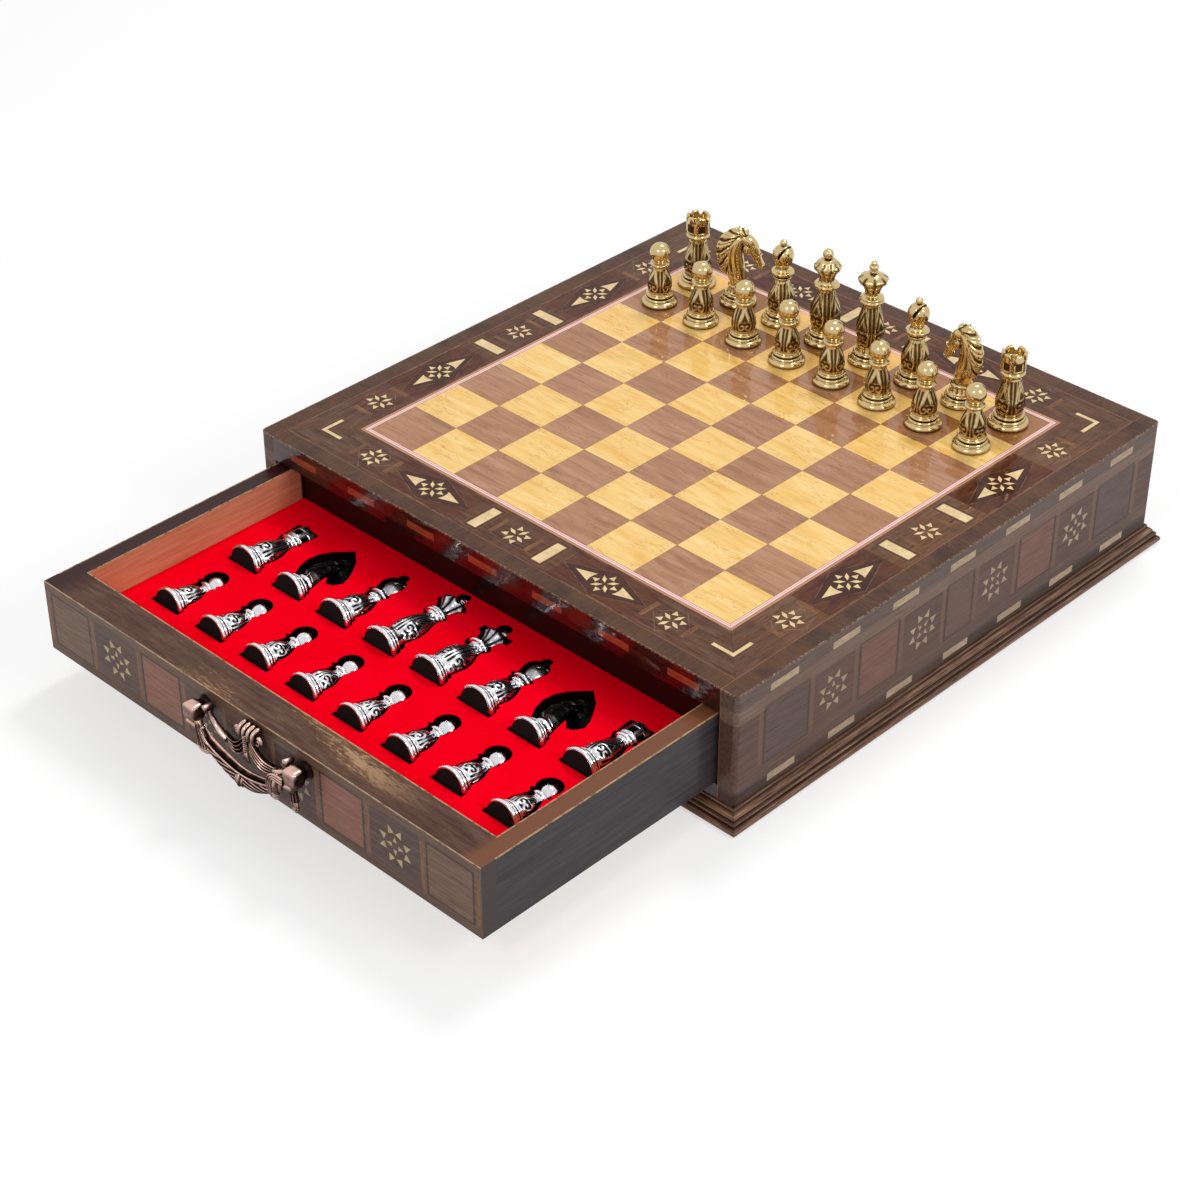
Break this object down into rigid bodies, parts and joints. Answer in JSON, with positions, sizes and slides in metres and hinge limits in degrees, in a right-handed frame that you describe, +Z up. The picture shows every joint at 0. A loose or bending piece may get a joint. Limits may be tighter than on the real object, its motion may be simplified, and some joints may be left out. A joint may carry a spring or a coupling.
{
  "type": "chess box with drawers",
  "caption": "Inlaid wooden chess board on a case with two drawers and bail pulls; one set of metal chess pieces stands on the board, the other lies in a flocked drawer insert.",
  "frame": {"origin": "centre of the case's underside, on the surface it stands on", "axes": "+Z up, -Y towards the front drawer, +X to the right seen from the front"},
  "size_m": [0.3114, 0.4614, 0.1229],
  "materials": {
    "case_wood": "lacquered walnut with dark grain, worn edges",
    "rail_wood": "dark red-brown wood under glossy lacquer",
    "plain_wood": "plain light wood",
    "border_wood": "patterned walnut veneer under thick gloss lacquer",
    "light_wood": "warm yellow veneer with fine flecks under gloss lacquer",
    "dark_wood": "grey-brown walnut veneer under gloss lacquer",
    "stringing": "pink, white and dark lines under gloss lacquer",
    "inlay_wood": "pale beige inlays",
    "amber_inlay": "amber inlays under gloss lacquer",
    "panel_wood": "inlaid panels, brown and red-brown",
    "drawer_wood": "satin drawer wood, stained dark outside and orange-tan inside",
    "red_flock": "bright red flocking",
    "antique_copper": "antique copper plating, rubbed bright on the high spots",
    "screw_steel": "zinc-plated steel",
    "gold_metal": "polished antique brass with dark recesses",
    "silver_metal": "bright chrome with black recesses"
  },
  "bodies": {
    "case": {"left_wall": "case_wood", "right_wall": "case_wood", "front_top_rail": "rail_wood", "back_top_rail": "rail_wood", "front_bottom_rail": "rail_wood", "back_bottom_rail": "rail_wood", "base_panel": "plain_wood", "centre_divider": "plain_wood", "drawer_runners": "plain_wood", "base_moulding": "case_wood", "board_core": "plain_wood", "border_veneer": "border_wood", "light_squares": "light_wood", "dark_squares": "dark_wood", "field_stringing": "stringing", "border_inlays": "inlay_wood", "wall_inlays": "inlay_wood", "wall_panels": "panel_wood", "rail_inlays": "amber_inlay"},
    "front_drawer": {"front_drawer_face": "case_wood", "front_drawer_frame": "drawer_wood", "front_drawer_bottom": "plain_wood", "front_drawer_insert": "red_flock", "front_face_inlays": "inlay_wood", "front_face_panels": "panel_wood", "front_pull_posts": "antique_copper", "front_pull_screws": "screw_steel"},
    "rear_drawer": {"rear_drawer_face": "case_wood", "rear_drawer_frame": "drawer_wood", "rear_drawer_bottom": "plain_wood", "rear_drawer_insert": "red_flock", "rear_face_inlays": "inlay_wood", "rear_face_panels": "panel_wood", "rear_pull_posts": "antique_copper", "rear_pull_screws": "screw_steel"},
    "front_bail": {"front_pull_bail": "antique_copper"},
    "rear_bail": {"rear_pull_bail": "antique_copper"},
    "gold_pawn_a": {"gold_pawn_a": "gold_metal"},
    "gold_pawn_b": {"gold_pawn_b": "gold_metal"},
    "gold_pawn_c": {"gold_pawn_c": "gold_metal"},
    "gold_pawn_d": {"gold_pawn_d": "gold_metal"},
    "gold_pawn_e": {"gold_pawn_e": "gold_metal"},
    "gold_pawn_f": {"gold_pawn_f": "gold_metal"},
    "gold_pawn_g": {"gold_pawn_g": "gold_metal"},
    "gold_pawn_h": {"gold_pawn_h": "gold_metal"},
    "gold_rook_a": {"gold_rook_a": "gold_metal"},
    "gold_knight_b": {"gold_knight_b": "gold_metal"},
    "gold_bishop_c": {"gold_bishop_c": "gold_metal"},
    "gold_queen": {"gold_queen": "gold_metal"},
    "gold_king": {"gold_king": "gold_metal"},
    "gold_bishop_f": {"gold_bishop_f": "gold_metal"},
    "gold_knight_g": {"gold_knight_g": "gold_metal"},
    "gold_rook_h": {"gold_rook_h": "gold_metal"},
    "silver_pawns": {"silver_pawns": "silver_metal"},
    "silver_rooks": {"silver_rooks": "silver_metal"},
    "silver_knights": {"silver_knights": "silver_metal"},
    "silver_bishops": {"silver_bishops": "silver_metal"},
    "silver_queen": {"silver_queen": "silver_metal"},
    "silver_king": {"silver_king": "silver_metal"}
  },
  "joints": [
    {"name": "bail_front", "type": "hinge", "parent": "front_drawer", "child": "front_bail", "pos_m": [0.005, -0.2939, 0.0416], "axis": [-1, 0, 0], "range_deg": [-15, 150]},
    {"name": "bail_rear", "type": "hinge", "parent": "rear_drawer", "child": "rear_bail", "pos_m": [-0.005, 0.1585, 0.0416], "axis": [1, 0, 0], "range_deg": [-15, 150]},
    {"name": "drawer_front", "type": "slide", "parent": "case", "child": "front_drawer", "axis": [0, -1, 0], "range_m": [-0.1354, 0]},
    {"name": "drawer_rear", "type": "slide", "parent": "case", "child": "rear_drawer", "axis": [0, 1, 0], "range_m": [0, 0.1354]},
    {"name": "lift_gold_pawn_a", "type": "slide", "parent": "case", "child": "gold_pawn_a", "axis": [0, 0, 1], "range_m": [0, 0.06]},
    {"name": "lift_gold_pawn_b", "type": "slide", "parent": "case", "child": "gold_pawn_b", "axis": [0, 0, 1], "range_m": [0, 0.06]},
    {"name": "lift_gold_pawn_c", "type": "slide", "parent": "case", "child": "gold_pawn_c", "axis": [0, 0, 1], "range_m": [0, 0.06]},
    {"name": "lift_gold_pawn_d", "type": "slide", "parent": "case", "child": "gold_pawn_d", "axis": [0, 0, 1], "range_m": [0, 0.06]},
    {"name": "lift_gold_pawn_e", "type": "slide", "parent": "case", "child": "gold_pawn_e", "axis": [0, 0, 1], "range_m": [0, 0.06]},
    {"name": "lift_gold_pawn_f", "type": "slide", "parent": "case", "child": "gold_pawn_f", "axis": [0, 0, 1], "range_m": [0, 0.06]},
    {"name": "lift_gold_pawn_g", "type": "slide", "parent": "case", "child": "gold_pawn_g", "axis": [0, 0, 1], "range_m": [0, 0.06]},
    {"name": "lift_gold_pawn_h", "type": "slide", "parent": "case", "child": "gold_pawn_h", "axis": [0, 0, 1], "range_m": [0, 0.06]},
    {"name": "lift_gold_rook_a", "type": "slide", "parent": "case", "child": "gold_rook_a", "axis": [0, 0, 1], "range_m": [0, 0.06]},
    {"name": "lift_gold_knight_b", "type": "slide", "parent": "case", "child": "gold_knight_b", "axis": [0, 0, 1], "range_m": [0, 0.06]},
    {"name": "lift_gold_bishop_c", "type": "slide", "parent": "case", "child": "gold_bishop_c", "axis": [0, 0, 1], "range_m": [0, 0.06]},
    {"name": "lift_gold_queen", "type": "slide", "parent": "case", "child": "gold_queen", "axis": [0, 0, 1], "range_m": [0, 0.06]},
    {"name": "lift_gold_king", "type": "slide", "parent": "case", "child": "gold_king", "axis": [0, 0, 1], "range_m": [0, 0.06]},
    {"name": "lift_gold_bishop_f", "type": "slide", "parent": "case", "child": "gold_bishop_f", "axis": [0, 0, 1], "range_m": [0, 0.06]},
    {"name": "lift_gold_knight_g", "type": "slide", "parent": "case", "child": "gold_knight_g", "axis": [0, 0, 1], "range_m": [0, 0.06]},
    {"name": "lift_gold_rook_h", "type": "slide", "parent": "case", "child": "gold_rook_h", "axis": [0, 0, 1], "range_m": [0, 0.06]},
    {"name": "lift_silver_pawns", "type": "slide", "parent": "front_drawer", "child": "silver_pawns", "axis": [0, 0, 1], "range_m": [0, 0.06]},
    {"name": "lift_silver_rooks", "type": "slide", "parent": "front_drawer", "child": "silver_rooks", "axis": [0, 0, 1], "range_m": [0, 0.06]},
    {"name": "lift_silver_knights", "type": "slide", "parent": "front_drawer", "child": "silver_knights", "axis": [0, 0, 1], "range_m": [0, 0.06]},
    {"name": "lift_silver_bishops", "type": "slide", "parent": "front_drawer", "child": "silver_bishops", "axis": [0, 0, 1], "range_m": [0, 0.06]},
    {"name": "lift_silver_queen", "type": "slide", "parent": "front_drawer", "child": "silver_queen", "axis": [0, 0, 1], "range_m": [0, 0.015]},
    {"name": "lift_silver_king", "type": "slide", "parent": "front_drawer", "child": "silver_king", "axis": [0, 0, 1], "range_m": [0, 0.015]}
  ]
}
